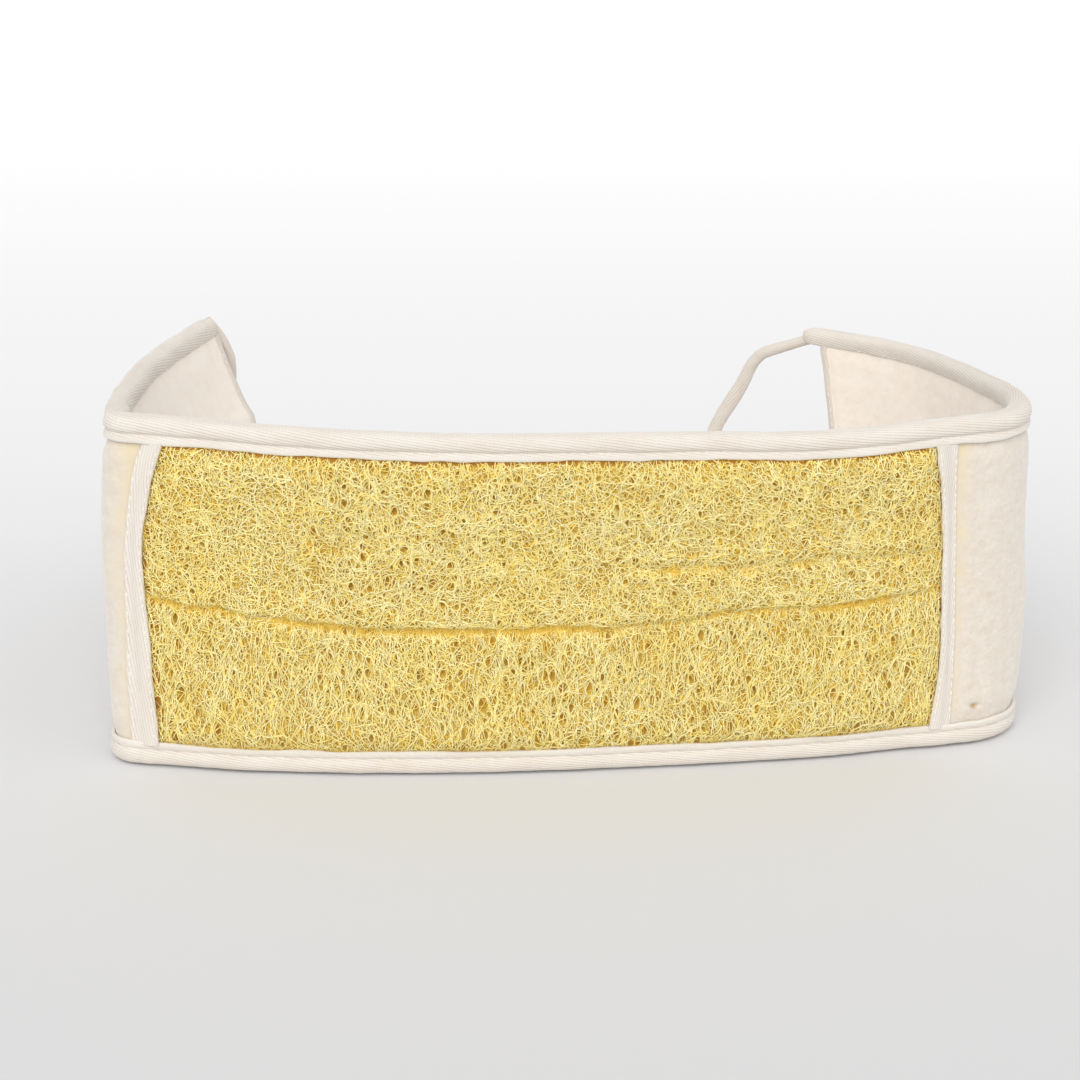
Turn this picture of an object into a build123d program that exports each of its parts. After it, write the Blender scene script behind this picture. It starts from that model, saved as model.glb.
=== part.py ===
from build123d import *
from math import atan2, cos, degrees, dist, pi, radians, sin
import os

# Loofah back scrubber: a padded textile band, bent into a U and standing on its lower edge.
# Frame: millimetres, +Z up. The loofah faces -Y and the two wings point back to +Y. The origin is
# the middle of the band's footprint, on the surface that it stands on.
# A place on the band is given by its station, the length along the middle line from the middle of
# the loofah (negative to the left), and by its offset, outwards from the middle line.

# The band
band_height = 115.0
half_length = 315.0
left_end = (-126.544, 95.152)

# The middle line's plan, from the left wing's end to the right wing's: length and radius
plan = [
    (167.0, 480.0),  # left wing
    (10.7, 8.0),  # left bend
    (64.3, 435.0),  # panel, left end
    (147.4, 870.0),  # panel, middle
    (76.8, 330.0),  # panel, right end
    (29.6, 25.4),  # right bend
    (67.2, 220.0),  # right wing, near the panel
    (67.0, 86.0),  # right wing, curling in
]
left_hinge = -142.65
right_hinge = 166.0

# The layers, as offsets from the middle line
binding_offset = 3.9
flange_offset = 3.5
lining_inner = -3.1
lining_outer = -2.3
terry_inner = -0.3
terry_outer = 2.1
loofah_margin_outer = 3.0
loofah_pad_outer = 7.0

# Heights
layer_margin = 1.8  # from the band's edge to the edge of its layers
binding_roll = 6.6
binding_flange = 2.8
binding_fillet = 2.8
binding_depth = binding_roll + binding_flange
loofah_margin = 3.0
gap_to_binding = 0.3

# The loofah and the tapes that cover its ends
loofah_half = 134.5
pad_half = 130.8
pad_fillet = 1.8
end_tape_start = 131.0
end_tape_end = 138.0
end_tape_offset = 3.9

# The wings' ends
layers_end = half_length - 0.8
hem_width = 4.5
hem_inner = -3.6
hem_outer = 2.6

# Sewing thread
thread = 0.5
thread_proud = 0.3
thread_from_fold = 1.0  # below the fold of the binding's roll
thread_from_edge = 1.2  # in from the border of a tape

# The bends open like a book, about the outermost line of the binding
hinge_clearance = 0.15
hinge_gap_angle = 9.0

# The handle loops
tape_radius = 2.2
loop_clearance = 0.3
loop_root = half_length + tape_radius + loop_clearance
root_height = 3.5
right_loop_route = [
    (0, band_height - root_height),
    (12, 105),
    (24, 100.5),
    (31.5, 86),
    (41.5, 70),
    (49, 50),
    (53, 29),
    (48, 12),
    (33, 4.2),
    (14, 4.8),
    (0, root_height),
]
left_loop_route = [
    (0, band_height - root_height),
    (7, 102.5),
    (7.5, 91),
    (13, 80),
    (24, 68),
    (36.5, 53),
    (48, 36),
    (55, 18.5),
    (43.5, 5),
    (21, 5.2),
    (0, root_height),
]

os.makedirs("parts", exist_ok=True)


def plan_arcs(start, end):
    """The radius and turn of each arc of the middle line between two stations."""
    arcs = []
    station = -half_length
    for length, radius in plan:
        piece = min(end, station + length) - max(start, station)
        if piece > 0.001:
            arcs.append((radius, degrees(piece / radius)))
        station += length
    return arcs


def plan_place(station, offset):
    """The point at a station and offset, and the heading there in degrees."""
    heading = -sum(turn for radius, turn in plan_arcs(-half_length, 0))
    x, y = left_end
    for radius, turn in plan_arcs(-half_length, station):
        x -= radius * (sin(radians(heading)) - sin(radians(heading + turn)))
        y += radius * (cos(radians(heading)) - cos(radians(heading + turn)))
        heading += turn
    return (x + offset * sin(radians(heading)), y - offset * cos(radians(heading))), heading


def end_place(side):
    """The axis of a handle loop, and the heading that points away from the wing."""
    station = side * half_length
    (x, y), heading = plan_place(station, 0)
    away = heading if side > 0 else heading + 180
    reach = loop_root - half_length
    return (x + reach * cos(radians(away)), y + reach * sin(radians(away))), away


def band_line(start, end, offset):
    """Draw one long line of the band's plan, and give its two ends."""
    first, heading = plan_place(start, offset)
    point = first
    for radius, turn in plan_arcs(start, end):
        tangent = (cos(radians(heading)), sin(radians(heading)))
        arc = JernArc(point, tangent, radius + offset, turn)
        point = arc @ 1
        heading += turn
    return first, point


def wall(stretch, layers, heights, mode=Mode.ADD):
    """Extrude a strip of the band: two stations, two offsets and two heights."""
    with BuildSketch(Plane.XY.offset(heights[0])) as strip:
        with BuildLine():
            inner_start, inner_finish = band_line(*stretch, layers[0])
            outer_start, outer_finish = band_line(*stretch, layers[1])
            Line(inner_start, outer_start)
            Line(inner_finish, outer_finish)
        make_face()
    extrude(strip.sketch, amount=heights[1] - heights[0], mode=mode)


def open_hinges():
    """Cut the gap that opens inwards from the hinge line of both bends."""
    reach = 4 * binding_offset
    spread = reach * sin(radians(hinge_gap_angle))
    for station in (left_hinge, right_hinge):
        (x, y), heading = plan_place(station, binding_offset)
        along = (cos(radians(heading)), sin(radians(heading)), 0)
        with BuildSketch(Plane((x, y, 0), x_dir=along)) as gap:
            with BuildLine():
                Polyline(
                    (-hinge_clearance, -1),
                    (hinge_clearance, -1),
                    (hinge_clearance, 0),
                    (hinge_clearance + spread, reach),
                    (-hinge_clearance - spread, reach),
                    (-hinge_clearance, 0),
                    close=True,
                )
            make_face()
        extrude(gap.sketch, amount=band_height, mode=Mode.SUBTRACT)


def layer(name, stretch, layers):
    """One textile layer of one stretch of the band, over the height inside the bindings."""
    with BuildPart() as sheet:
        wall(stretch, layers, (layer_margin, band_height - layer_margin))
        open_hinges()
    save(sheet, name)


def binding(name, stretch, filled, top):
    """The tape folded over the band's upper or lower edge: a full roll and a flat flange."""
    edge, inward = (band_height, -1) if top else (0, 1)
    fold = edge + inward * binding_roll
    border = edge + inward * binding_depth
    layers_edge = edge + inward * layer_margin
    loofah_edge = edge + inward * loofah_margin
    with BuildPart() as tape:
        wall(stretch, (-binding_offset, binding_offset), sorted((fold, edge)))
        rim = tape.faces().sort_by(Axis.Z)[-1 if top else 0].edges()
        fillet(rim.filter_by(GeomType.CIRCLE), binding_fillet)
        wall(stretch, (-flange_offset, flange_offset), sorted((border, fold)))
        wall(filled, (lining_inner, terry_outer), sorted((border, layers_edge)), Mode.SUBTRACT)
        if name.startswith("panel"):
            margin = (-loofah_half, loofah_half)
            heights = sorted((border, loofah_edge))
            wall(margin, (terry_outer, loofah_margin_outer), heights, Mode.SUBTRACT)
        open_hinges()
    save(tape, name)


def binding_stitching(name, stretch, top):
    """The seam that holds a binding, along both faces of its flange."""
    edge, inward = (band_height, -1) if top else (0, 1)
    near = edge + inward * (binding_roll + thread_from_fold)
    heights = sorted((near, near + inward * thread))
    with BuildPart() as seam:
        wall(stretch, (flange_offset, flange_offset + thread_proud), heights)
        wall(stretch, (-flange_offset - thread_proud, -flange_offset), heights)
        open_hinges()
    save(seam, name)


def loofah_panel():
    """The flattened loofah: a thin margin held under the tapes, and the full pad between them."""
    margin_heights = (loofah_margin, band_height - loofah_margin)
    low = binding_depth + gap_to_binding
    front_radii = [radius + loofah_pad_outer for radius, turn in plan_arcs(-pad_half, pad_half)]
    with BuildPart() as loofah:
        wall((-pad_half, pad_half), (terry_outer, loofah_pad_outer), (low, band_height - low))
        rims = loofah.edges().filter_by(GeomType.CIRCLE)
        fillet([rim for rim in rims if min(abs(rim.radius - r) for r in front_radii) < 0.1], pad_fillet)
        margin = (-loofah_half, loofah_half)
        wall(margin, (terry_outer, loofah_margin_outer), margin_heights)
    save(loofah, "panel_loofah_pad")


def end_tape(name, side):
    """The upright tape over one end of the loofah, stepping down onto the terry."""
    stretch = sorted((side * end_tape_start, side * end_tape_end))
    heights = (binding_depth, band_height - binding_depth)
    margin = (-loofah_half, loofah_half)
    with BuildPart() as tape:
        wall(stretch, (terry_outer, end_tape_offset), heights)
        wall(margin, (terry_outer, loofah_margin_outer), heights, Mode.SUBTRACT)
    save(tape, name)
    with BuildPart() as seam:
        for border in (end_tape_start + thread_from_edge, end_tape_end - thread_from_edge):
            line = sorted((side * border, side * (border + thread)))
            wall(line, (end_tape_offset, end_tape_offset + thread_proud), heights)
    save(seam, name + "_stitching")


def end_hem(name, side):
    """The narrow tape folded over a wing's end, between the two bindings."""
    stretch = sorted((side * (half_length - hem_width), side * half_length))
    layers = sorted((side * (half_length - 2 * hem_width), side * layers_end))
    heights = (binding_depth, band_height - binding_depth)
    border = half_length - hem_width + thread_from_edge
    line = sorted((side * border, side * (border + thread)))
    with BuildPart() as hem:
        wall(stretch, (hem_inner, hem_outer), heights)
        wall(layers, (lining_inner, terry_outer), heights, Mode.SUBTRACT)
    save(hem, name)
    with BuildPart() as seam:
        wall(line, (hem_outer, hem_outer + thread_proud), heights)
        wall(line, (hem_inner - thread_proud, hem_inner), heights)
    save(seam, name + "_stitching")


def corner_radii(route):
    """The largest radius that each corner of a limp tape's route has room for."""
    radii = []
    for before, corner, after in zip(route, route[1:], route[2:]):
        shorter = min(dist(before, corner), dist(corner, after))
        first = atan2(corner[1] - before[1], corner[0] - before[0])
        second = atan2(after[1] - corner[1], after[0] - corner[0])
        turn = abs((second - first + pi) % (2 * pi) - pi)
        radii.append(0.45 * shorter / (sin(turn / 2) / cos(turn / 2)))
    return radii


def handle_loop(name, side, route):
    """The narrow rolled tape from the upper to the lower corner of a wing's end."""
    (x, y), away = end_place(side)
    outward = (cos(radians(away)), sin(radians(away)), 0)
    sideways = (sin(radians(away)), -cos(radians(away)), 0)
    radii = corner_radii(route)
    with BuildPart() as loop:
        with BuildLine(Plane((x, y, 0), x_dir=outward, z_dir=sideways)) as path:
            FilletPolyline(*route, radius=radii)
        centreline = path.wires()[0]
        with BuildSketch(Plane(centreline @ 0, z_dir=centreline % 0)):
            Circle(tape_radius)
        sweep()
        tube_volume = loop.part.volume
        for height in (root_height, band_height - root_height):
            with BuildSketch(Plane((x, y, height - tape_radius))):
                Circle(tape_radius)
            extrude(amount=2 * tape_radius)
    save(loop, name)
    length = centreline.length
    print(name, "length", round(length, 1), "radii", [round(radius, 1) for radius in radii])
    print("  swept volume over section times length", tube_volume / (length * pi * tape_radius**2))


def save(piece, name):
    """Label a finished piece and write it under its node's name."""
    piece.part.label = name
    export_step(piece.part, "parts/" + name + ".step")


# Each body's stretch of the band, and the stretch that its layers fill
stretches = {
    "left_wing": ((-half_length, left_hinge), (-layers_end, left_hinge)),
    "panel": ((left_hinge, right_hinge), (left_hinge, right_hinge)),
    "right_wing": ((right_hinge, half_length), (right_hinge, layers_end)),
}

for body, (stretch, filled) in stretches.items():
    layer(body + "_cotton_lining", filled, (lining_inner, lining_outer))
    layer(body + "_wadding", filled, (lining_outer, terry_inner))
    layer(body + "_terry_face", filled, (terry_inner, terry_outer))
    for edge_name, top in (("top", True), ("bottom", False)):
        binding(f"{body}_{edge_name}_binding", stretch, filled, top)
        binding_stitching(f"{body}_{edge_name}_binding_stitching", stretch, top)

loofah_panel()
end_tape("panel_left_end_tape", -1)
end_tape("panel_right_end_tape", 1)
end_hem("left_wing_end_hem", -1)
end_hem("right_wing_end_hem", 1)
handle_loop("left_handle_loop", -1, left_loop_route)
handle_loop("right_handle_loop", 1, right_loop_route)
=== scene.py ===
from math import cos, pi, radians, sin

import bpy
import numpy as np
from mathutils import Matrix, Vector
from mathutils.geometry import delaunay_2d_cdt, tessellate_polygon


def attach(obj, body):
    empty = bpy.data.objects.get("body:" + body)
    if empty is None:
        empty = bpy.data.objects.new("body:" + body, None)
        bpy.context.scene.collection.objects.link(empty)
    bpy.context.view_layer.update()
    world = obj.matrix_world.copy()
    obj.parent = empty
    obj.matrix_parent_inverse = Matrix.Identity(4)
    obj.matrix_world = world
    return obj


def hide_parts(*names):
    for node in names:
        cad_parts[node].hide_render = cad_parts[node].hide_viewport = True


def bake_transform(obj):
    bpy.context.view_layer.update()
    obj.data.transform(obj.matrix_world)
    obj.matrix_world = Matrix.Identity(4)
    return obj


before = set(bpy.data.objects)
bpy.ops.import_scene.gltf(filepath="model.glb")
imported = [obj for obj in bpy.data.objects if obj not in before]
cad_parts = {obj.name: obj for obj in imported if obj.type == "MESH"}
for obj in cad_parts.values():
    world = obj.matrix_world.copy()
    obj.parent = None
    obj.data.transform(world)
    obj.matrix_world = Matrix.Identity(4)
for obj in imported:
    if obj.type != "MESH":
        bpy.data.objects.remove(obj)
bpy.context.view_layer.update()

# Loofah back scrubber: a padded cotton band with a loofah face, taped edges and two hand loops.
# Lengths are worked out in millimetres and go into the meshes in metres.
# A place on the band is its station (the length along its middle line from the loofah's middle,
# negative to the left), its offset (outwards from the middle line) and its height.
MM = 0.001
HEIGHT = 115.0
HALF = 315.0
LEFT_END = (-126.544, 95.152)

# The middle line's plan, from the left wing's end: length and radius of each arc
PLAN = [
    (167.0, 480.0),  # left wing
    (10.7, 8.0),  # left bend
    (64.3, 435.0),  # panel, left end
    (147.4, 870.0),  # panel, middle
    (76.8, 330.0),  # panel, right end
    (29.6, 25.4),  # right bend
    (67.2, 220.0),  # right wing, near the panel
    (67.0, 86.0),  # right wing, curling in
]

# Bodies, and the stations between which cloth bends from the panel onto each wing
WING = {-1: "left_wing", 1: "right_wing"}
SIDE = {-1: "left", 1: "right"}
BEND = {-1: (-136.5, -149.0), 1: (150.5, 181.5)}

# Routes of the hand loops, as in the CAD model: outwards from the wing's end, and height
LOOP_ROOT = 317.5
LOOP_ROUTE = {
    1: [
        (0, 111.5), (12, 105), (24, 100.5), (31.5, 86), (41.5, 70), (49, 50),
        (53, 29), (48, 12), (33, 4.2), (14, 4.8), (0, 3.5),
    ],
    -1: [
        (0, 111.5), (7, 102.5), (7.5, 91), (13, 80), (24, 68), (36.5, 53),
        (48, 36), (55, 18.5), (43.5, 5), (21, 5.2), (0, 3.5),
    ],
}
# How far the soft loop has drifted from each point of its route: further out, and aside
LOOP_DRIFT = {
    1: [
        (0, 0), (6, 0), (4.6, 0.5), (5.2, 0), (8, -0.5), (8, 0),
        (5.5, 0.5), (4, 0), (3, 0), (1.5, 0), (0, 0),
    ],
    -1: [
        (0, 0), (-4, -3.5), (-3, 1), (-3, 9), (-3, 14), (-2, 14),
        (0, 12), (0, 9), (0, 6), (0, 3), (0, 0),
    ],
}
LOOP_STEP = 0.5

# Distance from one stitch to the next
STITCH_PITCH = 2.9


def new_object(name, data):
    """An object of some data, in the scene."""
    added = bpy.data.objects.new(name, data)
    bpy.context.scene.collection.objects.link(added)
    return added


# ---- camera


def add_camera():
    """A 75 mm lens in front of the loofah and a little above it, looking slightly down."""
    data = bpy.data.cameras.new("camera")
    data.lens = 75.0
    data.sensor_width = 36.0
    data.clip_start = 0.02
    data.clip_end = 40.0
    camera = new_object("camera", data)
    forward = Vector((0.0713, 0.9518, -0.2982)).normalized()
    right = forward.cross(Vector((0, 0, 1))).normalized()
    up = right.cross(forward)
    turn = Matrix((right, up, -forward)).transposed().to_4x4()
    roll = Matrix.Rotation(radians(0.857), 4, "Z")
    camera.matrix_world = Matrix.Translation((-0.068, -0.792, 0.300)) @ turn @ roll
    bpy.context.scene.camera = camera


add_camera()


# ---- the band's shape


def smooth(x):
    """A smooth step from 0 to 1 as x goes from 0 to 1."""
    x = np.clip(x, 0.0, 1.0)
    return x * x * (3 - 2 * x)


def totals(values):
    """Running totals of some values, starting from 0."""
    return np.concatenate([[0], np.cumsum(values)])


def hump(x, centre, width):
    """A bell curve of height 1 round a centre."""
    return np.exp(-(((x - centre) / width) ** 2))


def unit(vectors):
    """Vectors along the last axis, each brought to length 1."""
    return vectors / (np.linalg.norm(vectors, axis=-1, keepdims=True) + 1e-9)


def noise(u, v, seed):
    """Smooth random values from -1 to 1 over a plane, with one lattice cell to each unit."""
    size = 256
    lattice = np.random.default_rng(seed).uniform(-1, 1, (size, size))
    u, v = np.broadcast_arrays(np.asarray(u, float), np.asarray(v, float))
    i, j = np.floor(u).astype(int), np.floor(v).astype(int)
    a, b = smooth(u - i), smooth(v - j)
    i, j, i1, j1 = i % size, j % size, (i + 1) % size, (j + 1) % size
    low = lattice[i, j] * (1 - a) + lattice[i1, j] * a
    high = lattice[i, j1] * (1 - a) + lattice[i1, j1] * a
    return low * (1 - b) + high * b


def middle_line():
    """Stations of the middle line with their points and headings."""
    step = 0.1
    lengths, radii = np.array(PLAN).T
    ends = totals(lengths) - HALF
    turns = totals(lengths / radii)
    stations = np.arange(-HALF, HALF + step / 2, step)
    heading = np.interp(stations, ends, turns) - np.interp(0, ends, turns)
    middle = (heading[1:] + heading[:-1]) / 2
    x = LEFT_END[0] + totals(np.cos(middle) * step)
    y = LEFT_END[1] + totals(np.sin(middle) * step)
    return stations, x, y, heading


LINE = middle_line()


def plan(s):
    """The middle line's x, y and heading at stations, carried straight on past its ends."""
    stations, xs, ys, headings = LINE
    heading = np.interp(s, stations, headings)
    past = s - np.clip(s, -HALF, HALF)
    x = np.interp(s, stations, xs) + past * np.cos(heading)
    y = np.interp(s, stations, ys) + past * np.sin(heading)
    return x, y, heading


def resample(points, step):
    """A smooth line through given points, cut into equal steps."""
    points = np.asarray(points, float)
    ends = 2 * points[[0, -1]] - points[[1, -2]]
    padded = np.concatenate([ends[:1], points, ends[1:]])
    t = np.linspace(0, 1, 24, endpoint=False)[:, None]
    curve = []
    for p0, p1, p2, p3 in zip(padded, padded[1:], padded[2:], padded[3:]):
        a = 2 * p1
        b = p2 - p0
        c = 2 * p0 - 5 * p1 + 4 * p2 - p3
        d = -p0 + 3 * p1 - 3 * p2 + p3
        curve.append(0.5 * (a + b * t + c * t**2 + d * t**3))
    curve = np.concatenate(curve + [points[-1:]])
    length = totals(np.linalg.norm(np.diff(curve, axis=0), axis=1))
    places = np.linspace(0, length[-1], int(round(length[-1] / step)) + 1)
    line = np.stack([np.interp(places, length, curve[:, k]) for k in range(points.shape[1])], -1)
    return line, places


def smooth_line(table, x):
    """Values at x on a smooth line through a table of places and values."""
    line, _ = resample(np.stack(table, -1), 0.5)
    return np.interp(x, line[:, 0], line[:, 1])


# Leaning of the soft wings' ends along X, by height
LEAN = {
    -1: (
        [0, 30, 58, 74, 81, 88, 94, 109, 118],
        [5.5, 6.5, 7.2, 5.7, 2.4, -0.6, -3.0, -7.8, -9.6],
    ),
    1: ([0, 30, 55, 76, 93, 101, 109, 118], [5.5, 5.2, 3.8, 1.1, -1.6, -2.8, -4.3, -5.8]),
}
# Rise of the upper edge, and forward creep of the lower edge, by station
RISE = (
    [-318, -300, -265, -225, -190, -165, -150, -136, -110, -88, -60]
    + [-20, 50, 75, 105, 130, 165, 190, 225, 255, 318],
    [0.8, 0.1, -0.1, 0.8, 1.9, 2.5, 4.4, 4.5, 3.6, 2.3, 1.4]
    + [0.7, 0.8, 0.1, 0.3, 1.9, 2.6, 3.1, 1.3, 0.9, 1.2],
)
CREEP = (
    [-318, -230, -150, -100, -60, -20, 20, 60, 90, 125, 150, 170, 215, 318],
    [0, 1, 5.0, 6.2, 5.8, 4.4, 2.6, 1.5, 0, 0, 2, 2, 0, 0],
)


def slump(s, z):
    """The soft band's departures from its plan: outwards, and along X, Y and Z."""
    high = z / HEIGHT
    outwards = 0.7 * noise(s / 48 + 9, z / 70, 11) + 0.3 * noise(s / 17, z / 40, 12)
    left = smooth((-s - 145) / 165) * smooth_line(LEAN[-1], z)
    right = smooth((s - 150) / 160) * smooth_line(LEAN[1], z)
    # both bends bulge and pull in
    swell = 1.6 * hump(z, 30, 25) - 1.1 * smooth((z - 45) / 35)
    bends = 3.0 * hump(s, -151, 9) * high**6 + swell * hump(s, 172, 18) - 0.9 * hump(s, -149, 14)
    forwards = smooth_line(CREEP, s) * (1 - high)
    upwards = high * (smooth_line(RISE, s) + 0.35 * noise(s / 55, s * 0, 13))
    upwards = upwards + 0.35 * hump(z, 0, 4)
    return outwards, left + right + bends, -forwards, upwards


def at(s, o, z):
    """Points of the band, in millimetres, from their stations, offsets and heights."""
    s, o, z = np.broadcast_arrays(*(np.asarray(a, float) for a in (s, o, z)))
    x, y, heading = plan(s)
    outwards, along_x, along_y, along_z = slump(s, z)
    o = o + outwards
    return np.stack(
        [x + o * np.sin(heading) + along_x, y - o * np.cos(heading) + along_y, z + along_z], -1
    )


# ---- meshes


def grid_faces(rows, columns, closed=False):
    """The corner numbers of the quads of a grid of points, closed across its columns or not."""
    i = np.arange(rows - 1)[:, None]
    j = np.arange(columns if closed else columns - 1)[None, :]
    a = i * columns + j
    b = i * columns + (j + 1) % columns
    return np.stack([a, a + columns, b + columns, b], -1).reshape(-1, 4)


def signed_volume(points, faces):
    """The volume inside faces, negative where they face inwards."""
    p = points - points.mean(0)
    total = 0.0
    for k in range(1, faces.shape[1] - 1):
        a, b, c = p[faces[:, 0]], p[faces[:, k]], p[faces[:, k + 1]]
        total += np.einsum("ij,ij->", a, np.cross(b, c)) / 6
    return total


def add_piece(name, points, quads, triangles, paint, uv=None, crease=None):
    """A mesh object from points in millimetres and the corner numbers of its faces."""
    points = np.asarray(points, float).reshape(-1, 3)
    quads = np.asarray(quads, np.int32).reshape(-1, 4)
    triangles = np.asarray(triangles, np.int32).reshape(-1, 3)
    if sum(signed_volume(points, faces) for faces in (quads, triangles)) < 0:
        quads, triangles = quads[:, ::-1], triangles[:, ::-1]
    corners = np.concatenate([quads.ravel(), triangles.ravel()])
    starts = totals(np.repeat([4, 3], [len(quads), len(triangles)]))[:-1]
    mesh = bpy.data.meshes.new(name)
    mesh.vertices.add(len(points))
    mesh.vertices.foreach_set("co", (points * MM).astype(np.float32).ravel())
    mesh.loops.add(len(corners))
    mesh.loops.foreach_set("vertex_index", corners.astype(np.int32))
    mesh.polygons.add(len(starts))
    mesh.polygons.foreach_set("loop_start", starts.astype(np.int32))
    mesh.update(calc_edges=True)
    if uv is not None:
        layer = mesh.uv_layers.new(name="Weave")
        layer.data.foreach_set("uv", np.asarray(uv, np.float32)[corners].ravel())
    mesh.polygons.foreach_set("use_smooth", np.ones(len(starts), bool))
    if crease is not None:
        mesh.set_sharp_from_angle(angle=radians(crease))
    mesh.materials.append(paint)
    piece = new_object(name, mesh)
    return piece


def add_sheet(name, side, s, z, offset, depth, paint, part):
    """Half a textile face as a tray: its face, and a turned-in border of that depth."""
    s, z = np.meshgrid(np.pad(side * s, 1, "edge"), np.pad(z, 1, "edge"), indexing="ij")
    o = offset(s, z)
    border = np.ones(s.shape, bool)
    border[1:-1, 1:-1] = False
    o = np.where(border, o - depth, o)
    uv = np.stack([s, z], -1).reshape(-1, 2)
    piece = add_piece(name, at(s, o, z), grid_faces(*s.shape), [], paint, uv, crease=50)
    join_bend(piece, side, part)
    return piece


def add_swept(name, sections, uv, outline, paint, crease=None):
    """A closed solid through sections of equal numbers of points, with flat ends.

    outline holds one section's points in its own plane, to cut its ends into triangles.
    """
    rows, columns = sections.shape[:2]
    quads = grid_faces(rows, columns, closed=True)
    cuts = np.array(tessellate_polygon([[Vector((x, y, 0)) for x, y in outline]]))
    steps = (cuts[:, [1, 2, 0]] - cuts) % columns
    if np.sum(steps == 1) < np.sum(steps == columns - 1):
        cuts = cuts[:, ::-1]
    ends = np.concatenate([cuts, (rows - 1) * columns + cuts[:, ::-1]])
    return add_piece(name, sections, quads, ends, paint, uv.reshape(-1, 2), crease)


def add_tape(name, points, u, v, outline, paint):
    """A length of twill tape, from its sections and its places along and across the tape."""
    uv = np.stack([u, v], -1)
    return add_swept(name, points, uv, outline, paint, crease=60)


def add_strands(name, paths, radius, sides, paint):
    """Closed thin tubes along many paths at once: paths is (strands, points, 3)."""
    count, steps = paths.shape[:2]
    tangent = unit(np.gradient(paths, axis=1))
    up = np.where(np.abs(tangent[..., 2:]) < 0.9, [[[0.0, 0.0, 1.0]]], [[[1.0, 0.0, 0.0]]])
    first = unit(np.cross(tangent, up))
    # each ring's first direction follows on from the one before, so the tube doesn't twist
    for k in range(1, steps):
        t = tangent[:, k]
        first[:, k] = unit(first[:, k - 1] - t * np.sum(first[:, k - 1] * t, 1, keepdims=True))
    second = np.cross(tangent, first)
    radius = np.broadcast_to(np.asarray(radius, float), (count, steps))[..., None, None]
    angle = 2 * pi * np.arange(sides) / sides
    ring = np.cos(angle)[:, None] * first[:, :, None] + np.sin(angle)[:, None] * second[:, :, None]
    points = paths[:, :, None] + radius * ring
    quads = grid_faces(steps, sides, closed=True)
    start = np.array([[0, k, k + 1] for k in range(1, sides - 1)])
    ends = np.concatenate([start, (steps - 1) * sides + start[:, ::-1]])
    shift = (np.arange(count) * steps * sides)[:, None, None]
    return add_piece(name, points, quads + shift, ends + shift, paint)


def join_bend(piece, side, part):
    """Bake a half of a layer or binding into place, and let it stand for its panel's and its wing's
    CAD nodes.
    """
    start, end = (at(s, 0.0, HEIGHT / 2) * MM for s in BEND[side])
    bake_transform(piece)
    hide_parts(f"panel_{part}", f"{WING[side]}_{part}")


def ride(piece, body, node):
    """Move a piece with a body, and let it stand for a CAD node."""
    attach(piece, body)
    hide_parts(node)


def tape_outline(shown, hidden, step):
    """A tape's section: its visible outline in equal steps, then a closing path under it.

    Returned with each point's place across the tape, and the number of visible points.
    """
    line, across = resample(shown, step)
    across = np.concatenate([across, np.full(len(hidden), across[-1])])
    return np.concatenate([line, hidden]), across, len(line)


def outline_normals(outline, shown, away):
    """Normals of an outline's visible part, whose middle faces away, and none for the rest."""
    turn = np.gradient(outline, axis=0)
    normal = unit(np.stack([turn[:, 1], -turn[:, 0]], -1))
    normal[shown:] = 0.0
    return normal if normal[shown // 2] @ away > 0 else -normal


# ---- materials


def tint(colour):
    """A colour for a shader socket, from its usual values of 0 to 255."""
    channels = [c / 255 for c in colour]
    linear = [c / 12.92 if c < 0.04045 else ((c + 0.055) / 1.055) ** 2.4 for c in channels]
    return (*linear, 1.0)


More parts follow.
